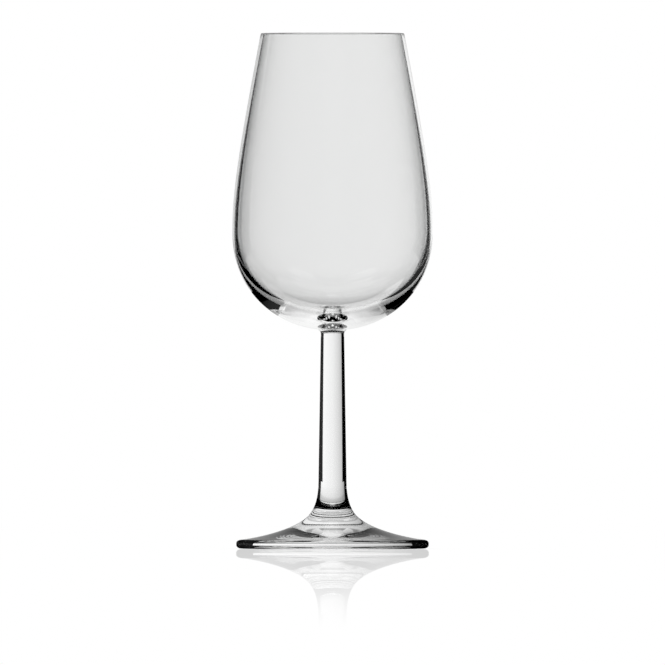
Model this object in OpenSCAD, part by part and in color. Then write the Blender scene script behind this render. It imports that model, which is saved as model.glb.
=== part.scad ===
// Sherry glass: a blown bowl, a drawn stem and a pressed foot, welded end to end on one axis.
// The origin is the centre of the ring on which the foot rests, and +Z runs up the axis.

/* [Bowl] */
// Outer diameter of the bowl at its rim
rim_d = 46; // [38:0.5:54]
// Outer diameter of the bowl at its widest
belly_d = 64.2; // [56:0.2:74]
// Height of the bowl from its weld to its rim
bowl_h = 94.9; // [80:0.1:115]
// Height of the widest place above the weld
belly_h = 31.6; // [26:0.1:40]
// Wall at the rim
rim_wall = 1.05; // [0.8:0.05:2]
// Wall at the widest place
belly_wall = 1.65; // [0.8:0.05:2.5]
// Solid glass between the weld and the lowest place inside
base_t = 4; // [3:0.1:10]
// Fullness of the outside below the widest place, where 2 is an ellipse
outer_power = 2.1; // [1.8:0.05:2.6]
// Share of the upper wall's height in which it bends out of the widest place
knee_share = 0.33; // [0.1:0.01:0.8]

/* [Stem] */
// Length of the stem between its welds
stem_len = 58.3; // [40:0.1:90]
// Diameter of the head that carries the bowl
head_d = 9.3; // [8:0.1:12]
// Height of the curve under the head
head_h = 1.2; // [1:0.1:4]
// Diameter of the shaft at its upper end
shaft_top_d = 7.46; // [6:0.02:7.9]
// Diameter of the shaft at its lower end
shaft_low_d = 8.94; // [8:0.02:11]
// Height of the flare at the lower end
flare_h = 11.2; // [6:0.2:16]

/* [Foot] */
// Outer diameter of the foot
foot_d = 61.6; // [54:0.2:74]
// Height of the foot up to the stem's weld
foot_h = 11.8; // [8:0.1:16]
// Thickness of the foot inside its rounded edge
edge_t = 3; // [2:0.1:4]
// Height of the upright band round the edge
band_h = 0.6; // [0.2:0.1:1.4]
// Width over which the edge rounds off above and below its band
round_w = 1.7; // [1:0.1:4]
// Slope of the upper face where it meets the edge, in degrees
edge_slope = 7; // [3:1:15]
// Diameter of the weld between foot and stem
weld_d = 13.5; // [12:0.1:16]
// Slope of foot and stem at their weld, in degrees
weld_slope = 58; // [45:1:70]
// Width of the ring on which the foot rests
ring_w = 2.5; // [1:0.25:6]
// Depth of the hollow under the foot
hollow_h = 0.2; // [0.1:0.1:3]

/* [Hidden] */
$fn = 180;
curve_steps = 24;
lip_steps = 8;

rim_r = rim_d/2;
belly_r = belly_d/2;
inner_r = belly_r - belly_wall;
head_r = head_d/2;
shaft_top_r = shaft_top_d/2;
shaft_low_r = shaft_low_d/2;
foot_r = foot_d/2;
weld_r = weld_d/2;
lip_r = rim_wall/2;
edge_in_r = foot_r - round_w;
ring_r = edge_in_r - ring_w;
stem_z = foot_h;
bowl_z = foot_h + stem_len;

// Handle lengths of the curves, as shares of the height or width that each one spans
well_side_share = 0.6;
well_floor_share = 0.575;
flare_low_share = 0.32;
flare_top_share = 0.41;
edge_quarter_share = 0.55;
foot_edge_share = 0.37;
foot_weld_share = 0.245;
hollow_side_share = 0.35;
hollow_top_share = 0.35;
head_low_share = 0.32;
head_mid_shares = [0.31, 0.6];

bowl_tint = [0.90, 0.92, 0.93];
stem_tint = [0.84, 0.87, 0.89];
foot_tint = [0.78, 0.82, 0.85];

// A point at a distance and an angle from another
function polar(r, a) = [r*cos(a), r*sin(a)];

// Points of a curve between two ends with two handles
function curve(a, b, c, d) = [
    for (i = [0:curve_steps])
        let (t = i/curve_steps, s = 1 - t)
            s*s*s*a + 3*s*s*t*b + 3*s*t*t*c + t*t*t*d
];

// Points of a round stretch about a centre
function arc(centre, r, a0, a1, steps) = [
    for (i = [0:steps]) centre + polar(r, a0 + (a1 - a0)*i/steps)
];

// Points of a rounded bottom, from a flat of radius r0 at height z0 out to radius r at height z1
function round_bottom(r0, z0, r, z1, power) =
    let (depth = (z1 - z0)/pow(1 - pow(r0/r, power), 1/power))
    let (start = asin(pow(r0/r, power/2)))
    [
        for (i = [0:curve_steps])
            let (t = start + (90 - start)*i/curve_steps)
                [r*pow(sin(t), 2/power), z1 - depth*pow(cos(t), 2/power)]
    ];

// Share of the way from the widest place to the rim, at a share u of the upper wall's height
function taper(u) = (norm([u, knee_share]) - knee_share)/(norm([1, knee_share]) - knee_share);

// Points of a tapering wall from radius r0 at height z0 up to radius r1 at height z1
function wall(r0, z0, r1, z1) = [
    for (i = [0:curve_steps])
        let (u = i/curve_steps)
            [r0 - (r0 - r1)*taper(u), z0 + (z1 - z0)*u]
];

// Lean of the wall at the rim, and the lip's round edge square to it
lip_z = bowl_h - lip_r;
lean_share = 1/(norm([1, knee_share])*(norm([1, knee_share]) - knee_share));
lip_lean = atan((belly_r - rim_r)*lean_share/(lip_z - belly_h));
lip_centre = [rim_r - lip_r*cos(lip_lean), lip_z];
lip_outer = lip_centre + polar(lip_r, lip_lean);
lip_inner = lip_centre - polar(lip_r, lip_lean);

// Blown bowl with a fire-polished rim and a thick base
module bowl() {
    outside = concat(
        round_bottom(head_r, 0, belly_r, belly_h, outer_power),
        wall(belly_r, belly_h, lip_outer.x, lip_outer.y)
    );
    well = curve(
        [0, base_t],
        [inner_r*well_floor_share, base_t],
        [inner_r, belly_h - (belly_h - base_t)*well_side_share],
        [inner_r, belly_h]
    );
    inside = concat(well, wall(inner_r, belly_h, lip_inner.x, lip_inner.y));
    lip = arc(lip_centre, lip_r, lip_lean, 180 + lip_lean, lip_steps);
    color(bowl_tint)
        translate([0, 0, bowl_z])
            rotate_extrude()
                polygon(concat([[0, 0]], outside, lip, reversed(inside)));
}

// Drawn stem with a flared head for the bowl and a flare down to the foot
module stem() {
    flare = curve(
        [weld_r, 0],
        [weld_r, 0] + polar(flare_h*flare_low_share, 180 - weld_slope),
        [shaft_low_r, flare_h*(1 - flare_top_share)],
        [shaft_low_r, flare_h]
    );
    spread = head_r - shaft_top_r;
    head = curve(
        [shaft_top_r, stem_len - head_h],
        [shaft_top_r, stem_len - head_h*(1 - head_low_share)],
        [shaft_top_r + spread*head_mid_shares.x, stem_len - head_h*(1 - head_mid_shares.y)],
        [head_r, stem_len]
    );
    color(stem_tint)
        translate([0, 0, stem_z])
            rotate_extrude()
                polygon(concat([[0, 0]], flare, head, [[0, stem_len]]));
}

// Pressed foot with a banded edge, a resting ring and a shallow hollow inside the ring
module foot() {
    edge_top = [edge_in_r, edge_t];
    corner_h = (edge_t - band_h)/2;
    under_band = curve(
        [edge_in_r, 0],
        [edge_in_r + round_w*edge_quarter_share, 0],
        [foot_r, corner_h*(1 - edge_quarter_share)],
        [foot_r, corner_h]
    );
    over_band = curve(
        [foot_r, edge_t - corner_h],
        [foot_r, edge_t - corner_h*(1 - edge_quarter_share)],
        edge_top + polar(round_w*edge_quarter_share, -edge_slope),
        edge_top
    );
    span = edge_in_r - weld_r;
    upper = curve(
        edge_top,
        edge_top + polar(span*foot_edge_share, 180 - edge_slope),
        [weld_r, foot_h] - polar(span*foot_weld_share, 180 - weld_slope),
        [weld_r, foot_h]
    );
    hollow = curve(
        [0, hollow_h],
        [ring_r*hollow_top_share, hollow_h],
        [ring_r*(1 - hollow_side_share), 0],
        [ring_r, 0]
    );
    color(foot_tint)
        rotate_extrude()
            polygon(concat(hollow, under_band, over_band, upper, [[0, foot_h]]));
}

// The same points in the other order
function reversed(points) = [for (i = [len(points) - 1:-1:0]) points[i]];

foot();
stem();
bowl();
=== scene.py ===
"""Sherry glass at rest in a bright-field studio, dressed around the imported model.

The bowl, the stem and the foot are turned from the same curves as the solids, and each takes the place
of its solid. Sizes are in millimetres and angles in degrees; meshes are made in metres.
"""
import logging
import math
from abc import ABC, abstractmethod
from dataclasses import dataclass
from enum import Enum
from itertools import pairwise

import bpy
import numpy as np
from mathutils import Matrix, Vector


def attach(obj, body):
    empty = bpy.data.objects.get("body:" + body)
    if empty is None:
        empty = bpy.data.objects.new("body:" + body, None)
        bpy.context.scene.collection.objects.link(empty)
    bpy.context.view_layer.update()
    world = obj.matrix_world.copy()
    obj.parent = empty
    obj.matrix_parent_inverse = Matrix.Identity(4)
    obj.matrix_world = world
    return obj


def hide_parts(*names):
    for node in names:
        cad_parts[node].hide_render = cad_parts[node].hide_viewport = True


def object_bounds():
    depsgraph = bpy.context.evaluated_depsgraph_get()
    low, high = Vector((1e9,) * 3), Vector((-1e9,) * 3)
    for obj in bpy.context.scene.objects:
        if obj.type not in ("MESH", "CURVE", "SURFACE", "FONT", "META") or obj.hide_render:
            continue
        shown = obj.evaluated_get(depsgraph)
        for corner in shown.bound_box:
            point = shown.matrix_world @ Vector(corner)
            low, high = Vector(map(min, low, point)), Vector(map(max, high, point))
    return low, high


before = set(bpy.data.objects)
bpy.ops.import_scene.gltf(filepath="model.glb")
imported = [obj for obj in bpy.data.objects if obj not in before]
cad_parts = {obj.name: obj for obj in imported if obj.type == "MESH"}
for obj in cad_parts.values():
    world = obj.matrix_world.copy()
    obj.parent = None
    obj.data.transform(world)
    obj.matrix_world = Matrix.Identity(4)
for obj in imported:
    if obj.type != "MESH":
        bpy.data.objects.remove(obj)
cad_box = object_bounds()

LOG = logging.getLogger("sherry_glass")
MM = 0.001
# Two points closer than this, in millimetres, are one
SAME_PLACE = 1e-6

Colour = tuple[float, float, float, float]
Pairs = tuple[tuple[float, float], ...]
Point = np.ndarray | tuple[float, float]


def grey(level: float) -> Colour:
    """Give an opaque neutral colour of one level."""
    return (level, level, level, 1.0)


def polar(reach: float, degrees: float) -> np.ndarray:
    """Give the point at a reach and an angle from the origin."""
    angle = math.radians(degrees)
    return reach * np.array((math.cos(angle), math.sin(angle)))


def curve(ends_and_handles: list[Point], steps: int) -> np.ndarray:
    """Give the points of a cubic curve.

    Args:
        ends_and_handles: The start, its handle, the end's handle and the end.
        steps: How many pieces the curve is cut into.

    Returns:
        The points, one row of radius and height each.
    """
    a, b, c, d = (np.asarray(p, float) for p in ends_and_handles)
    t = np.linspace(0.0, 1.0, steps + 1)[:, None]
    s = 1.0 - t
    return s**3 * a + 3 * s * s * t * b + 3 * s * t * t * c + t**3 * d


def arc(centre: np.ndarray, radius: float, start: float, end: float, steps: int) -> np.ndarray:
    """Give the points of a round stretch about a centre, between two angles."""
    return np.array([centre + polar(radius, a) for a in np.linspace(start, end, steps + 1)])


def oblong(left: float, right: float, low: float, high: float) -> Pairs:
    """Give the corners of an oblong, anticlockwise."""
    return ((left, low), (right, low), (right, high), (left, high))


def link(name: str, data: bpy.types.ID | None) -> bpy.types.Object:
    """Add an object to the scene.

    Args:
        name: The object's name.
        data: What it holds, or None for an empty.

    Returns:
        The object.
    """
    made = bpy.data.objects.new(name, data)
    bpy.context.scene.collection.objects.link(made)
    return made


class Wiring:
    """Adds nodes to one node tree and joins them."""

    def __init__(self, tree: bpy.types.NodeTree) -> None:
        """Start on a tree with no nodes in it."""
        self.tree = tree
        tree.nodes.clear()

    @classmethod
    def of_material(cls, name: str) -> tuple[bpy.types.Material, "Wiring"]:
        """Make a material with an empty tree.

        Args:
            name: The material's name.

        Returns:
            The material and its wiring.
        """
        made = bpy.data.materials.new(name)
        made.use_nodes = True
        return made, cls(made.node_tree)

    def node(self, kind: str, **settings: object) -> bpy.types.Node:
        """Add a node.

        Args:
            kind: The node's class name without the leading ShaderNode.
            settings: Attributes to set on the node.

        Returns:
            The new node.
        """
        made = self.tree.nodes.new(kind if kind.startswith("Node") else f"ShaderNode{kind}")
        for name, value in settings.items():
            setattr(made, name, value)
        return made

    def join(self, source: bpy.types.NodeSocket, target: bpy.types.NodeSocket) -> None:
        """Link an output to an input."""
        self.tree.links.new(source, target)


class Working(Enum):
    """How a piece of hot glass was worked; the value stretches its faint waves along x, y and z."""

    BLOWN = (1.0, 1.0, 0.22)
    DRAWN = (1.0, 1.0, 0.05)
    PRESSED = (1.0, 1.0, 1.6)


class HotWorkedSurface:
    """The shared effect of hot working: slow waves, a breath of haze and a trace of body tint."""

    NAME = "hot_worked_surface"
    INPUTS = (
        ("Lie", "NodeSocketVector"),
        ("Wave Scale", "NodeSocketFloat"),
        ("Mark Scale", "NodeSocketFloat"),
        ("Haze Low", "NodeSocketFloat"),
        ("Haze High", "NodeSocketFloat"),
        ("Tint Thin", "NodeSocketColor"),
        ("Tint Deep", "NodeSocketColor"),
    )
    OUTPUTS = (
        ("Tint", "NodeSocketColor"),
        ("Haze", "NodeSocketFloat"),
        ("Height", "NodeSocketFloat"),
    )
    MARKS_FROM, MARKS_TO = 0.45, 0.78
    WAVE_DETAIL, MARK_DETAIL = 1.0, 5.0

    @classmethod
    def tree(cls) -> bpy.types.NodeTree:
        """Give the node group, building it the first time."""
        return bpy.data.node_groups.get(cls.NAME) or cls._build()

    @classmethod
    def _build(cls) -> bpy.types.NodeTree:
        """Build the node group.

        Returns:
            The finished group.
        """
        tree = bpy.data.node_groups.new(cls.NAME, "ShaderNodeTree")
        for name, kind in cls.INPUTS:
            tree.interface.new_socket(name=name, in_out="INPUT", socket_type=kind)
        for name, kind in cls.OUTPUTS:
            tree.interface.new_socket(name=name, in_out="OUTPUT", socket_type=kind)
        wiring = Wiring(tree)
        given = wiring.node("NodeGroupInput")
        result = wiring.node("NodeGroupOutput")
        place = wiring.node("TexCoord")
        lie = wiring.node("VectorMath", operation="MULTIPLY")
        wiring.join(place.outputs["Object"], lie.inputs[0])
        wiring.join(given.outputs["Lie"], lie.inputs[1])
        waves = wiring.node("TexNoise")
        waves.inputs["Detail"].default_value = cls.WAVE_DETAIL
        wiring.join(lie.outputs[0], waves.inputs["Vector"])
        wiring.join(given.outputs["Wave Scale"], waves.inputs["Scale"])
        marks = wiring.node("TexNoise")
        marks.inputs["Detail"].default_value = cls.MARK_DETAIL
        wiring.join(lie.outputs[0], marks.inputs["Vector"])
        wiring.join(given.outputs["Mark Scale"], marks.inputs["Scale"])
        haze = wiring.node("MapRange", interpolation_type="SMOOTHSTEP")
        haze.inputs["From Min"].default_value = cls.MARKS_FROM
        haze.inputs["From Max"].default_value = cls.MARKS_TO
        wiring.join(marks.outputs["Fac"], haze.inputs["Value"])
        wiring.join(given.outputs["Haze Low"], haze.inputs["To Min"])
        wiring.join(given.outputs["Haze High"], haze.inputs["To Max"])
        tint = wiring.node("Mix", data_type="RGBA")
        wiring.join(waves.outputs["Fac"], tint.inputs["Factor"])
        wiring.join(given.outputs["Tint Thin"], tint.inputs["A"])
        wiring.join(given.outputs["Tint Deep"], tint.inputs["B"])
        wiring.join(tint.outputs["Result"], result.inputs["Tint"])
        wiring.join(haze.outputs["Result"], result.inputs["Haze"])
        wiring.join(waves.outputs["Fac"], result.inputs["Height"])
        return tree


@dataclass(frozen=True)
class GlassFinish:
    """Clear fire-polished glass, with the faint unevenness that its working leaves."""

    name: str
    working: Working
    wave_scale: float
    wave_depth: float
    mark_scale: float = 220.0
    haze_low: float = 0.0
    haze_high: float = 0.006
    tint_thin: Colour = (0.998, 0.999, 0.998, 1.0)
    tint_deep: Colour = (0.988, 0.992, 0.990, 1.0)
    ior: float = 1.52

    def material(self) -> bpy.types.Material:
        """Build the material.

        Returns:
            A Principled glass whose tint, haze and waves come from the shared group.
        """
        made, wiring = Wiring.of_material(self.name)
        out = wiring.node("OutputMaterial")
        glass = wiring.node("BsdfPrincipled")
        glass.inputs["Metallic"].default_value = 0.0
        glass.inputs["IOR"].default_value = self.ior
        glass.inputs["Transmission Weight"].default_value = 1.0
        worked = wiring.node("Group", node_tree=HotWorkedSurface.tree())
        worked.inputs["Lie"].default_value = self.working.value
        worked.inputs["Wave Scale"].default_value = self.wave_scale
        worked.inputs["Mark Scale"].default_value = self.mark_scale
        worked.inputs["Haze Low"].default_value = self.haze_low
        worked.inputs["Haze High"].default_value = self.haze_high
        worked.inputs["Tint Thin"].default_value = self.tint_thin
        worked.inputs["Tint Deep"].default_value = self.tint_deep
        waves = wiring.node("Bump")
        waves.inputs["Strength"].default_value = 1.0
        waves.inputs["Distance"].default_value = self.wave_depth * MM
        wiring.join(worked.outputs["Height"], waves.inputs["Height"])
        wiring.join(worked.outputs["Tint"], glass.inputs["Base Color"])
        wiring.join(worked.outputs["Haze"], glass.inputs["Roughness"])
        wiring.join(waves.outputs["Normal"], glass.inputs["Normal"])
        wiring.join(glass.outputs["BSDF"], out.inputs["Surface"])
        return made


@dataclass(frozen=True)
class WeldFinish:
    """The face inside a heat weld, where two pieces have run together and nothing shows."""

    name: str = "fused_weld"

    def material(self) -> bpy.types.Material:
        """Give the one material of all the welds, building it the first time.

        Returns:
            A material that lets light straight through.
        """
        made = bpy.data.materials.get(self.name)
        if made is None:
            made = bpy.data.materials.new(self.name)
            made.use_nodes = True
            made.node_tree.nodes["Principled BSDF"].inputs["Alpha"].default_value = 0.0
        return made


class Surface(Enum):
    """What a stretch of a piece's outline is; the value is the slot of its material."""

    GLASS = 0
    WELD = 1


@dataclass(frozen=True)
class Stretch:
    """A stretch of a turned outline, run so that the glass lies on its left."""

    points: np.ndarray
    surface: Surface = Surface.GLASS


@dataclass(kw_only=True)
class TurnedPiece(ABC):
    """A piece of glass that is round about the upright axis, closed by the faces of its welds."""

    name: str
    node: str
    finish: GlassFinish
    weld: WeldFinish = WeldFinish()
    segments: int = 240
    steps: int = 48
    short_steps: int = 24
    sharp_angle: float = 25.0

    @abstractmethod
    def outline(self) -> list[Stretch]:
        """Give the outline from the axis at the bottom round to the axis again."""

    def rings(self) -> tuple[np.ndarray, list[Surface]]:
        """Join the outline's stretches.

        Returns:
            The outline's points in order with no point twice, and the surface of each band between two.
        """
        points: list[np.ndarray] = []
        surfaces: list[Surface] = []
        for stretch in self.outline():
            for point in stretch.points:
                if points and np.hypot(*(point - points[-1])) < SAME_PLACE:
                    continue
                if points:
                    surfaces.append(stretch.surface)
                points.append(np.asarray(point, float))
        return np.array(points), surfaces

    def build(self) -> bpy.types.Object:
        """Turn the outline about the axis into one closed mesh.

        Returns:
            The object, linked to the scene, with each face's material slot set.
        """
        points, surfaces = self.rings()
        turn = np.arange(self.segments) * 2.0 * math.pi / self.segments
        corners: list[tuple[float, float, float]] = []
        loops: list[list[int]] = []
        for radius, height in points * MM:
            first = len(corners)
            if radius < SAME_PLACE * MM:
                corners.append((0.0, 0.0, height))
            else:
                corners.extend((radius * math.cos(a), radius * math.sin(a), height) for a in turn)
            loops.append(list(range(first, len(corners))))
        faces: list[tuple[int, ...]] = []
        slots: list[int] = []
        for (low, high), surface in zip(pairwise(loops), surfaces):
            for j in range(self.segments):
                k = (j + 1) % self.segments
                ring = (low[j % len(low)], low[k % len(low)], high[k % len(high)], high[j % len(high)])
                faces.append(tuple(dict.fromkeys(ring)))
                slots.append(surface.value)
        mesh = bpy.data.meshes.new(self.name)
        mesh.from_pydata(corners, [], faces)
        mesh.polygons.foreach_set("material_index", slots)
        mesh.shade_smooth()
        mesh.set_sharp_from_angle(angle=math.radians(self.sharp_angle))
        return link(self.name, mesh)

    def dress(self, made: bpy.types.Object) -> None:
        """Give the piece its glass, and its weld faces their own finish."""
        for finish in (self.finish, self.weld):
            made.data.materials.append(finish.material())

    def make(self) -> bpy.types.Object:
        """Build and dress the piece, and put it in place of its solid.

        Returns:
            The finished piece.
        """
        made = self.build()
        self.dress(made)
        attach(made, "root")
        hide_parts(self.node)
        LOG.info("%s: %d faces, replaces %s", made.name, len(made.data.polygons), self.node)
        return made


@dataclass(kw_only=True)
class Foot(TurnedPiece):
    """The pressed foot: a banded edge, a resting ring and a shallow hollow inside the ring."""

    diameter: float = 61.6
    height: float = 11.8
    edge_thick: float = 3.0
    band_height: float = 0.6
    round_width: float = 1.7
    edge_slope: float = 7.0
    weld_diameter: float = 13.5
    weld_slope: float = 58.0
    ring_width: float = 2.5
    hollow_height: float = 0.2
    quarter_share: float = 0.55
    edge_share: float = 0.37
    weld_share: float = 0.245
    hollow_side_share: float = 0.35
    hollow_top_share: float = 0.35

    def outline(self) -> list[Stretch]:
        """Run from the hollow's top out under the ring, over the banded edge and up to the weld.

        Returns:
            The outline's stretches.
        """
        side_r, handle = self.diameter / 2, self.quarter_share
        weld = np.array((self.weld_diameter / 2, self.height))
        top = np.array((side_r - self.round_width, self.edge_thick))
        corner = (self.edge_thick - self.band_height) / 2
        ring_r, span = top[0] - self.ring_width, top[0] - weld[0]
        hollow = curve(
            [
                (0, self.hollow_height),
                (ring_r * self.hollow_top_share, self.hollow_height),
                (ring_r * (1 - self.hollow_side_share), 0),
                (ring_r, 0),
            ],
            self.steps,
        )
        under_band = curve(
            [
                (top[0], 0),
                (top[0] + self.round_width * handle, 0),
                (side_r, corner * (1 - handle)),
                (side_r, corner),
            ],
            self.short_steps,
        )
        over_band = curve(
            [
                (side_r, self.edge_thick - corner),
                (side_r, self.edge_thick - corner * (1 - handle)),
                top + polar(self.round_width * handle, -self.edge_slope),
                top,
            ],
            self.short_steps,
        )
        upper = curve(
            [
                top,
                top + polar(span * self.edge_share, 180 - self.edge_slope),
                weld - polar(span * self.weld_share, 180 - self.weld_slope),
                weld,
            ],
            self.steps,
        )
        face = np.array([weld, (0, self.height)])
        glass = [Stretch(points) for points in (hollow, under_band, over_band, upper)]
        return [*glass, Stretch(face, Surface.WELD)]


@dataclass(kw_only=True)
class Stem(TurnedPiece):
    """The drawn stem: a flare on the foot, a slim tapering shaft and a small head under the bowl."""

    base_z: float = 11.8
    length: float = 58.3
    head_diameter: float = 9.3
    head_height: float = 1.2
    shaft_top_diameter: float = 7.46
    shaft_low_diameter: float = 8.94
    flare_height: float = 11.2
    weld_diameter: float = 13.5
    weld_slope: float = 58.0
    flare_low_share: float = 0.32
    flare_top_share: float = 0.41
    head_low_share: float = 0.32
    head_mid_shares: tuple[float, float] = (0.31, 0.6)

    def outline(self) -> list[Stretch]:
        """Run from the lower weld up the flare, the shaft and the head to the upper weld.

        Returns:
            The outline's stretches.
        """
        lift = np.array((0, self.base_z))
        low = np.array((self.weld_diameter / 2, 0))
        shaft_low, shaft_top = self.shaft_low_diameter / 2, self.shaft_top_diameter / 2
        head_r, head_low = self.head_diameter / 2, self.length - self.head_height
        spread = head_r - shaft_top
        across, up = self.head_mid_shares
        flare = curve(
            [
                low,
                low + polar(self.flare_height * self.flare_low_share, 180 - self.weld_slope),
                (shaft_low, self.flare_height * (1 - self.flare_top_share)),
                (shaft_low, self.flare_height),
            ],
            self.steps,
        )
        shaft = np.linspace((shaft_low, self.flare_height), (shaft_top, head_low), self.short_steps)
        head = curve(
            [
                (shaft_top, head_low),
                (shaft_top, self.length - self.head_height * (1 - self.head_low_share)),
                (shaft_top + spread * across, self.length - self.head_height * (1 - up)),
                (head_r, self.length),
            ],
            self.short_steps,
        )
        foot_face = np.array([(0, 0), low])
        bowl_face = np.array([(head_r, self.length), (0, self.length)])
        return [
            Stretch(foot_face + lift, Surface.WELD),
            Stretch(flare + lift),
            Stretch(shaft + lift),
            Stretch(head + lift),
            Stretch(bowl_face + lift, Surface.WELD),
        ]


@dataclass(kw_only=True)
class Bowl(TurnedPiece):
    """The blown bowl: a thick rounded base, a full belly and a wall that draws in to a polished lip."""

    base_z: float = 70.1
    rim_diameter: float = 46.0
    belly_diameter: float = 64.2
    height: float = 94.9
    belly_height: float = 31.6
    rim_wall: float = 1.05
    belly_wall: float = 1.65
    base_thick: float = 4.0
    head_diameter: float = 9.3
    outer_power: float = 2.1
    well_side_share: float = 0.6
    well_floor_share: float = 0.575
    knee_share: float = 0.33
    lip_steps: int = 16

    def round_bottom(self) -> np.ndarray:
        """Give the outside from the weld's edge out to the belly, fuller than an ellipse.

        Returns:
            The outline's points.
        """
        flat_r, side_r, power = self.head_diameter / 2, self.belly_diameter / 2, self.outer_power
        depth = self.belly_height / (1 - (flat_r / side_r) ** power) ** (1 / power)
        start = math.asin((flat_r / side_r) ** (power / 2))
        t = np.linspace(start, math.pi / 2, self.steps + 1)
        fall = np.maximum(np.cos(t), 0.0) ** (2 / power)
        return np.column_stack((side_r * np.sin(t) ** (2 / power), self.belly_height - depth * fall))

    def wall(self, belly_r: float, lip: np.ndarray) -> np.ndarray:
        """Give a wall that bends out of the belly and then runs nearly straight to the lip.

        Args:
            belly_r: The wall's radius at the belly.
            lip: The point where the wall meets the lip.

        Returns:
            The wall's points from the belly up.
        """
        u = np.linspace(0.0, 1.0, self.steps + 1)
        knee = self.knee_share
        drawn_in = (np.hypot(u, knee) - knee) / (math.hypot(1, knee) - knee)
        rise = self.belly_height + (lip[1] - self.belly_height) * u
        return np.column_stack((belly_r - (belly_r - lip[0]) * drawn_in, rise))

    def outline(self) -> list[Stretch]:
        """Run from the weld up the outside, over the lip and down the inside.

        Returns:
            The outline's stretches.
        """
        lift = np.array((0, self.base_z))
        belly_r, rim_r = self.belly_diameter / 2, self.rim_diameter / 2
        inner_r, lip_r = belly_r - self.belly_wall, self.rim_wall / 2
        lip_z, long_side = self.height - lip_r, math.hypot(1, self.knee_share)
        fall = (belly_r - rim_r) / (long_side * (long_side - self.knee_share))
        lean = math.degrees(math.atan(fall / (lip_z - self.belly_height)))
        centre = np.array((rim_r - lip_r * math.cos(math.radians(lean)), lip_z))
        weld_face = np.array([(0, 0), (self.head_diameter / 2, 0)])
        depth = self.belly_height - self.base_thick
        well = curve(
            [
                (0, self.base_thick),
                (inner_r * self.well_floor_share, self.base_thick),
                (inner_r, self.belly_height - depth * self.well_side_share),
                (inner_r, self.belly_height),
            ],
            self.steps,
        )
        inside = np.concatenate((well, self.wall(inner_r, centre - polar(lip_r, lean))))
        return [
            Stretch(weld_face + lift, Surface.WELD),
            Stretch(self.round_bottom() + lift),
            Stretch(self.wall(belly_r, centre + polar(lip_r, lean)) + lift),
            Stretch(arc(centre, lip_r, lean, 180 + lean, self.lip_steps) + lift),
            Stretch(inside[::-1] + lift),
        ]


class SeenBy(Enum):
    """Which rays meet a thing of the studio; the value is Blender's word for them."""

    CAMERA = "camera"
    THROUGH_GLASS = "transmission"
    IN_REFLECTIONS = "glossy"


ALL_RAYS = ("camera", "diffuse", "glossy", "transmission", "volume_scatter", "shadow")
THROUGH = (SeenBy.THROUGH_GLASS,)
MIRRORED = (SeenBy.IN_REFLECTIONS,)


def set_up(
    name: str,
    places: list[tuple[float, float, float]],
    finish: bpy.types.Material,
    seen_by: tuple[SeenBy, ...],
) -> bpy.types.Object:
    """Add a flat thing of the studio that only some rays meet.

    Args:
        name: The thing's name.
        places: Its corners in order, in metres.
        finish: Its material.
        seen_by: The rays that meet it.

    Returns:
        The object.
    """
    mesh = bpy.data.meshes.new(name)
    mesh.from_pydata(places, [], [tuple(range(len(places)))])
    mesh.materials.append(finish)
    made = link(name, mesh)
    for rays in ALL_RAYS:
        setattr(made, f"visible_{rays}", False)
    for rays in seen_by:
        setattr(made, f"visible_{rays.value}", True)
    return made


class Lie(Enum):
    """How a studio card lies."""

    SQUARE_TO_VIEW = "square to the view"
    ALONG_VIEW = "along the view"
    LEVEL = "level"


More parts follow.
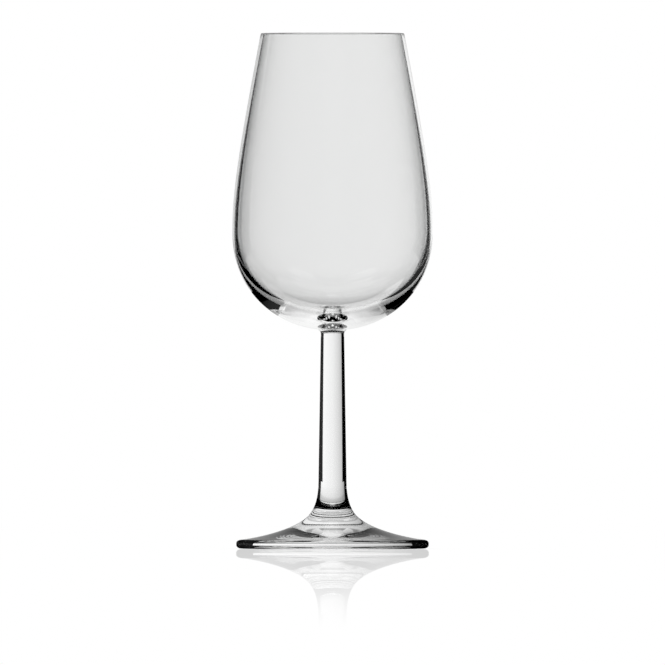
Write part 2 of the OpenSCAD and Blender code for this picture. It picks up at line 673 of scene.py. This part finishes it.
@dataclass(frozen=True)
class Card:
    """A flat card of the studio; its places are measured from the rig's middle.

    A card square to the view stands off behind the glass, and its corners run across and up. A card along
    the view stands off to one side, and its corners run backwards and up. A level card lies off above or
    below, and its corners run across and backwards.

    The glow runs through its levels from left to right, or from the far end to the near end on a card
    along the view. It may be dimmed by shares that are given with their heights. A one-sided card lets
    rays through from behind.
    """

    name: str
    off: float
    corners: Pairs
    glow: tuple[float, ...]
    rise: Pairs = ()
    seen_by: tuple[SeenBy, ...] = (SeenBy.THROUGH_GLASS, SeenBy.IN_REFLECTIONS)
    lie: Lie = Lie.SQUARE_TO_VIEW
    one_sided: bool = False

    @staticmethod
    def ramp(wiring: Wiring, levels: list[tuple[float, float]]) -> bpy.types.Node:
        """Add a ramp of greys.

        Args:
            wiring: The tree to add it to.
            levels: The places along the ramp, from 0 to 1, each with its level.

        Returns:
            The ramp's node.
        """
        made = wiring.node("ValToRGB")
        stops = made.color_ramp.elements
        while len(stops) < len(levels):
            stops.new(1.0)
        for stop, (place, level) in zip(stops, levels):
            stop.position = place
            stop.color = grey(level)
        return made

    def material(self) -> bpy.types.Material:
        """Build the card's glow.

        Returns:
            An emission of one level, or one that changes over the card.
        """
        made, wiring = Wiring.of_material(self.name)
        out = wiring.node("OutputMaterial")
        light = wiring.node("Emission")
        light.inputs["Color"].default_value = grey(self.glow[0])
        wiring.join(light.outputs["Emission"], out.inputs["Surface"])
        if self.one_sided:
            side = wiring.node("NewGeometry")
            clear = wiring.node("BsdfTransparent")
            either = wiring.node("MixShader")
            wiring.join(side.outputs["Backfacing"], either.inputs[0])
            wiring.join(light.outputs["Emission"], either.inputs[1])
            wiring.join(clear.outputs["BSDF"], either.inputs[2])
            wiring.join(either.outputs["Shader"], out.inputs["Surface"])
        if len(self.glow) > 1:
            axis = "Z" if self.lie is Lie.ALONG_VIEW else "X"
            place = wiring.node("TexCoord")
            along = wiring.node("SeparateXYZ")
            levels = self.ramp(wiring, [(i / (len(self.glow) - 1), g) for i, g in enumerate(self.glow)])
            wiring.join(place.outputs["Generated"], along.inputs[0])
            wiring.join(along.outputs[axis], levels.inputs["Fac"])
            wiring.join(levels.outputs["Color"], light.inputs["Color"])
        if self.rise:
            low, high = self.rise[0][0], self.rise[-1][0]
            place = wiring.node("TexCoord")
            upward = wiring.node("SeparateXYZ")
            height = wiring.node("MapRange")
            height.inputs["From Min"].default_value = low * MM
            height.inputs["From Max"].default_value = high * MM
            strength = self.ramp(wiring, [((up - low) / (high - low), share) for up, share in self.rise])
            wiring.join(place.outputs["Object"], upward.inputs[0])
            wiring.join(upward.outputs["Y"], height.inputs["Value"])
            wiring.join(height.outputs["Result"], strength.inputs["Fac"])
            wiring.join(strength.outputs["Color"], light.inputs["Strength"])
        return made

    def build(self, rig: bpy.types.Object) -> bpy.types.Object:
        """Hang the card on the rig.

        Args:
            rig: The rig that turns with the view.

        Returns:
            The card.
        """
        if self.lie is Lie.SQUARE_TO_VIEW:
            places = [(across * MM, up * MM, -self.off * MM) for across, up in self.corners]
        elif self.lie is Lie.LEVEL:
            places = [(across * MM, self.off * MM, -back * MM) for across, back in self.corners]
        else:
            places = [(self.off * MM, up * MM, -back * MM) for back, up in self.corners]
        made = set_up(self.name, places, self.material(), self.seen_by)
        made.parent = rig
        return made


@dataclass(frozen=True)
class Floor:
    """The white floor: it takes a soft contact shade, and mirrors faintly where it is seen edge on."""

    half_width: float = 6000.0
    front: float = 6000.0
    back: float = 900.0
    drop: float = 0.02
    shade_reach: float = 14.0
    shade_level: float = 0.72
    shade_samples: int = 16
    mirror: float = 0.36
    mirror_reach: float = 3800.0
    edge_on: tuple[float, float] = (0.955, 0.99)

    def material(self) -> bpy.types.Material:
        """Build the floor's finish.

        Returns:
            A white that darkens where the glass stands close, under a fading mirror.
        """
        made, wiring = Wiring.of_material("white_floor")
        out = wiring.node("OutputMaterial")
        near = wiring.node("AmbientOcclusion", samples=self.shade_samples)
        near.inputs["Distance"].default_value = self.shade_reach * MM
        shade = wiring.node("MapRange")
        shade.inputs["To Min"].default_value = self.shade_level
        wiring.join(near.outputs["AO"], shade.inputs["Value"])
        white = wiring.node("Emission")
        wiring.join(shade.outputs["Result"], white.inputs["Color"])
        place = wiring.node("NewGeometry")
        away = wiring.node("VectorMath", operation="LENGTH")
        wiring.join(place.outputs["Position"], away.inputs[0])
        fade = wiring.node("MapRange", interpolation_type="SMOOTHSTEP")
        fade.inputs["From Max"].default_value = self.mirror_reach * MM
        fade.inputs["To Min"].default_value = self.mirror
        fade.inputs["To Max"].default_value = 0.0
        wiring.join(away.outputs["Value"], fade.inputs["Value"])
        view = wiring.node("LayerWeight")
        grazing = wiring.node("MapRange")
        grazing.inputs["From Min"].default_value = self.edge_on[0]
        grazing.inputs["From Max"].default_value = self.edge_on[1]
        wiring.join(view.outputs["Facing"], grazing.inputs["Value"])
        share = wiring.node("Math", operation="MULTIPLY")
        wiring.join(fade.outputs["Result"], share.inputs[0])
        wiring.join(grazing.outputs["Result"], share.inputs[1])
        mirror = wiring.node("BsdfGlossy")
        mirror.inputs["Color"].default_value = grey(1.0)
        mirror.inputs["Roughness"].default_value = 0.0
        both = wiring.node("MixShader")
        wiring.join(share.outputs[0], both.inputs[0])
        wiring.join(white.outputs[0], both.inputs[1])
        wiring.join(mirror.outputs[0], both.inputs[2])
        wiring.join(both.outputs[0], out.inputs["Surface"])
        return made

    def build(self) -> bpy.types.Object:
        """Lay the floor under the glass, where only the camera sees it.

        Returns:
            The floor.
        """
        outline = oblong(-self.half_width, self.half_width, -self.front, self.back)
        places = [(x * MM, y * MM, -self.drop * MM) for x, y in outline]
        return set_up("floor", places, self.material(), (SeenBy.CAMERA,))


@dataclass(frozen=True)
class PhotoCamera:
    """A level, distant camera: parallel lines stay parallel, as in the photograph."""

    field: float = 212.8
    aim_height: float = 69.2
    elevation: float = 0.4
    distance: float = 5000.0
    clip_near: float = 100.0
    clip_far: float = 30000.0

    def build(self) -> bpy.types.Object:
        """Set up the scene's camera.

        Returns:
            The camera.
        """
        lens = bpy.data.cameras.new("photo_camera")
        lens.type = "ORTHO"
        lens.ortho_scale = self.field * MM
        lens.clip_start, lens.clip_end = self.clip_near * MM, self.clip_far * MM
        made = link("photo_camera", lens)
        back, rise = polar(self.distance, self.elevation)
        made.location = (0.0, -back * MM, (self.aim_height + rise) * MM)
        made.rotation_euler = (math.radians(90 - self.elevation), 0.0, 0.0)
        bpy.context.scene.camera = made
        return made


@dataclass(frozen=True)
class Studio:
    """A bright field: a white wall far behind the glass, a softbox overhead and flags close by.

    Its cards hang on a rig that turns with the camera, as if the glass stood on a turntable.
    """

    # The wall, which is dimmed by height, as it is seen through the glass and in reflections
    wall_behind: float = 1000.0
    wall_half: float = 985.0
    wall_low: float = -1380.0
    wall_glow: tuple[float, ...] = (0.38, 0.69, 0.95, 1.05, 1.08)
    wall_rise: Pairs = (
        (-760.0, 1.0),
        (-600.0, 0.57),
        (-440.0, 0.62),
        (-370.0, 0.70),
        (-325.0, 0.84),
        (-270.0, 0.89),
        (-200.0, 0.93),
        (-120.0, 1.0),
        (107.0, 1.0),
        (190.0, 0.45),
        (330.0, 0.45),
        (420.0, 0.85),
        (900.0, 0.85),
    )
    mirrored_rise: Pairs = ((-40.0, 1.0), (20.0, 0.45), (400.0, 0.25), (700.0, 0.0))
    # The softbox overhead
    softbox_up: float = 900.0
    softbox_half: float = 800.0
    softbox_front: float = -200.0
    softbox_glow: float = 0.85
    # The dim room beyond the wall's right end
    room_out: float = 6000.0
    room_high: float = 3000.0
    room_glow: float = 0.028
    # The flags behind the sides of the glass
    flag_behind: float = 60.0
    flag_edge: Pairs = (
        (38.6, -55.0),
        (42.6, -28.5),
        (43.7, -17.5),
        (43.7, -4.5),
        (55.0, 17.5),
        (57.0, 82.5),
        (57.0, 600.0),
    )
    low_flag_edge: Pairs = ((36.5, -63.5), (38.6, -55.0))
    flag_out: float = 1500.0
    # The dark flags beside the stem, for the reflections in the bowl's lower sides
    side_off: float = 45.0
    side_back: float = 400.0
    side_low: float = -300.0
    side_high: float = -14.5
    # The faint flags beside the bowl
    back_flag_off: float = 57.0
    back_flag_from: float = 94.0
    back_flag_to: float = 340.0
    back_flag_low: float = -12.0
    back_flag_high: float = 90.0
    back_flag_glow_left: tuple[float, ...] = (0.95, 0.82, 0.72, 0.64, 0.22)
    back_flag_glow_right: tuple[float, ...] = (1.0, 0.93, 0.85, 0.8, 0.5)
    # The light cards that the bowl's edge reflects
    edge_card_behind: float = 50.0
    edge_card_in: float = 33.0
    edge_card_out: float = 54.0
    edge_card_low: float = 10.0
    edge_card_high: float = 95.0
    edge_glow_left: float = 0.7
    edge_glow_right: float = 1.0
    # The white card over the rim
    rim_card_behind: float = 40.0
    rim_card_half: float = 60.0
    rim_card_low: float = 93.0
    rim_card_high: float = 234.5
    rim_card_glow: float = 1.0
    # The part of the wall that the floor mirrors
    patch_behind: float = 990.0
    patch_half: float = 130.0
    patch_low: float = -120.0
    patch_high: float = -35.0
    patch_glow: float = 1.0
    # The light card that the bowl's base reflects, with a notch that keeps the base's middle dark
    table_card_up: float = -52.5
    table_card_half: float = 44.5
    table_card_front: float = 0.0
    table_card_back: float = 500.0
    table_card_glow: float = 0.85
    table_notch_half: float = 12.0
    table_notch_back: float = 26.0
    # How often a ray is followed on
    bounces: int = 12

    def flag(self, side: int, edge: Pairs) -> Pairs:
        """Give the corners of a flag, whose inner edge follows the glass.

        Args:
            side: -1 for a flag on the left, 1 for one on the right.
            edge: The flag's inner edge from its foot up.

        Returns:
            The corners.
        """
        outer = ((self.flag_out, edge[-1][1]), (self.flag_out, edge[0][1]))
        return tuple((side * x, up) for x, up in (*edge, *outer))

    def table(self) -> Pairs:
        """Give the corners of the card under the bowl, anticlockwise, with the notch in its front.

        Returns:
            The corners.
        """
        half, front, back = self.table_card_half, self.table_card_front, self.table_card_back
        notch = oblong(-self.table_notch_half, self.table_notch_half, front, self.table_notch_back)
        front_left, front_right, back_right, back_left = notch
        inner = (front_left, back_left, back_right, front_right)
        return ((-half, front), *inner, (half, front), (half, back), (-half, back))

    def walls(self) -> list[Card]:
        """Give the far cards.

        Returns:
            The wall, the wall as reflections have it, the softbox and the dim room.
        """
        half, behind = self.wall_half, self.wall_behind
        wall = oblong(-half, half, self.wall_low, self.wall_rise[-1][0])
        mirrored_wall = oblong(-half, half, self.wall_low, self.mirrored_rise[-1][0])
        softbox = oblong(-self.softbox_half, self.softbox_half, self.softbox_front, behind)
        room = oblong(half, self.room_out, -self.room_high, self.room_high)
        overhead, dim = (self.softbox_glow,), (self.room_glow,)
        return [
            Card("white_wall", behind, wall, self.wall_glow, self.wall_rise, THROUGH),
            Card("mirrored_wall", behind, mirrored_wall, self.wall_glow, self.mirrored_rise, MIRRORED),
            Card("softbox", self.softbox_up, softbox, overhead, seen_by=THROUGH, lie=Lie.LEVEL),
            Card("dim_room_right", behind, room, dim),
        ]

    def flags(self) -> list[Card]:
        """Give the cards that draw the dark lines and bands in the glass.

        Returns:
            The flags behind the sides, beside the stem and beside the bowl, each left before right.
        """
        behind, off, faint_off, along = self.flag_behind, self.side_off, self.back_flag_off, Lie.ALONG_VIEW
        side = oblong(0.0, self.side_back, self.side_low, self.side_high)
        faint = oblong(self.back_flag_from, self.back_flag_to, self.back_flag_low, self.back_flag_high)
        faint_left, faint_right = self.back_flag_glow_left, self.back_flag_glow_right
        dark, dim = (0.0,), (self.room_glow,)
        return [
            Card("flag_left", behind, self.flag(-1, self.flag_edge), dark),
            Card("flag_right", behind, self.flag(1, self.flag_edge), dim),
            Card("low_flag_left", behind, self.flag(-1, self.low_flag_edge), dark, seen_by=THROUGH),
            Card("low_flag_right", behind, self.flag(1, self.low_flag_edge), dim, seen_by=THROUGH),
            Card("side_flag_left", -off, side, dark, seen_by=MIRRORED, lie=along),
            Card("side_flag_right", off, side, dark, seen_by=MIRRORED, lie=along),
            Card("back_flag_left", -faint_off, faint, faint_left, seen_by=THROUGH, lie=along),
            Card("back_flag_right", faint_off, faint, faint_right, seen_by=THROUGH, lie=along),
        ]

    def lights(self) -> list[Card]:
        """Give the small light cards.

        Returns:
            The cards for the bowl's edge, its rim, the floor's mirror and the bowl's base.
        """
        inner, outer = self.edge_card_in, self.edge_card_out
        low, high, behind = self.edge_card_low, self.edge_card_high, self.edge_card_behind
        left, right = oblong(-outer, -inner, low, high), oblong(inner, outer, low, high)
        rim = oblong(-self.rim_card_half, self.rim_card_half, self.rim_card_low, self.rim_card_high)
        patch = oblong(-self.patch_half, self.patch_half, self.patch_low, self.patch_high)
        return [
            Card("bowl_edge_left", behind, left, (self.edge_glow_left,), seen_by=MIRRORED),
            Card("bowl_edge_right", behind, right, (self.edge_glow_right,), seen_by=MIRRORED),
            Card("white_over_rim", self.rim_card_behind, rim, (self.rim_card_glow,)),
            Card("wall_in_floor", self.patch_behind, patch, (self.patch_glow,), seen_by=MIRRORED),
            Card(
                "table_under_bowl",
                self.table_card_up,
                self.table(),
                (self.table_card_glow,),
                seen_by=MIRRORED,
                lie=Lie.LEVEL,
                one_sided=True,
            ),
        ]

    def rig(self, camera: bpy.types.Object) -> bpy.types.Object:
        """Stand the rig at the middle of the glass, turned as the camera is.

        Args:
            camera: The camera whose turn the rig copies.

        Returns:
            The rig.
        """
        made = link("studio_rig", None)
        made.location = (cad_box[0] + cad_box[1]) / 2
        turn = made.constraints.new("COPY_ROTATION")
        turn.target = camera
        return made

    def world(self) -> None:
        """Set a world that is white to the camera and dark to everything else."""
        world = bpy.data.worlds.new("white_room")
        world.use_nodes = True
        wiring = Wiring(world.node_tree)
        out = wiring.node("OutputWorld")
        sky = wiring.node("Background")
        rays = wiring.node("LightPath")
        wiring.join(rays.outputs["Is Camera Ray"], sky.inputs["Color"])
        wiring.join(sky.outputs["Background"], out.inputs["Surface"])
        bpy.context.scene.world = world

    def build(self, camera: bpy.types.Object) -> None:
        """Set up the world, the floor, the cards and how far light is followed.

        Args:
            camera: The camera with which the studio turns.
        """
        self.world()
        Floor().build()
        rig = self.rig(camera)
        for card in (*self.walls(), *self.flags(), *self.lights()):
            card.build(rig)
            LOG.info("studio: %s", card.name)
        cycles = bpy.context.scene.cycles
        cycles.max_bounces = self.bounces
        cycles.glossy_bounces = self.bounces
        cycles.transmission_bounces = self.bounces
        cycles.transparent_max_bounces = self.bounces
        bpy.context.scene.view_settings.view_transform = "Standard"


def main() -> None:
    """Build the glass, the camera and the studio, in that order."""
    logging.basicConfig(level=logging.INFO, format="%(name)s: %(message)s")
    pressed = GlassFinish("pressed_clear_glass", Working.PRESSED, wave_scale=60.0, wave_depth=0.001)
    drawn = GlassFinish("drawn_clear_glass", Working.DRAWN, wave_scale=220.0, wave_depth=0.001)
    blown = GlassFinish("blown_clear_glass", Working.BLOWN, wave_scale=70.0, wave_depth=0.002)
    Foot(name="glass_foot", node="foot", finish=pressed).make()
    Stem(name="glass_stem", node="stem", finish=drawn).make()
    Bowl(name="glass_bowl", node="bowl", finish=blown).make()
    Studio().build(PhotoCamera().build())


if __name__ == "__main__":
    main()
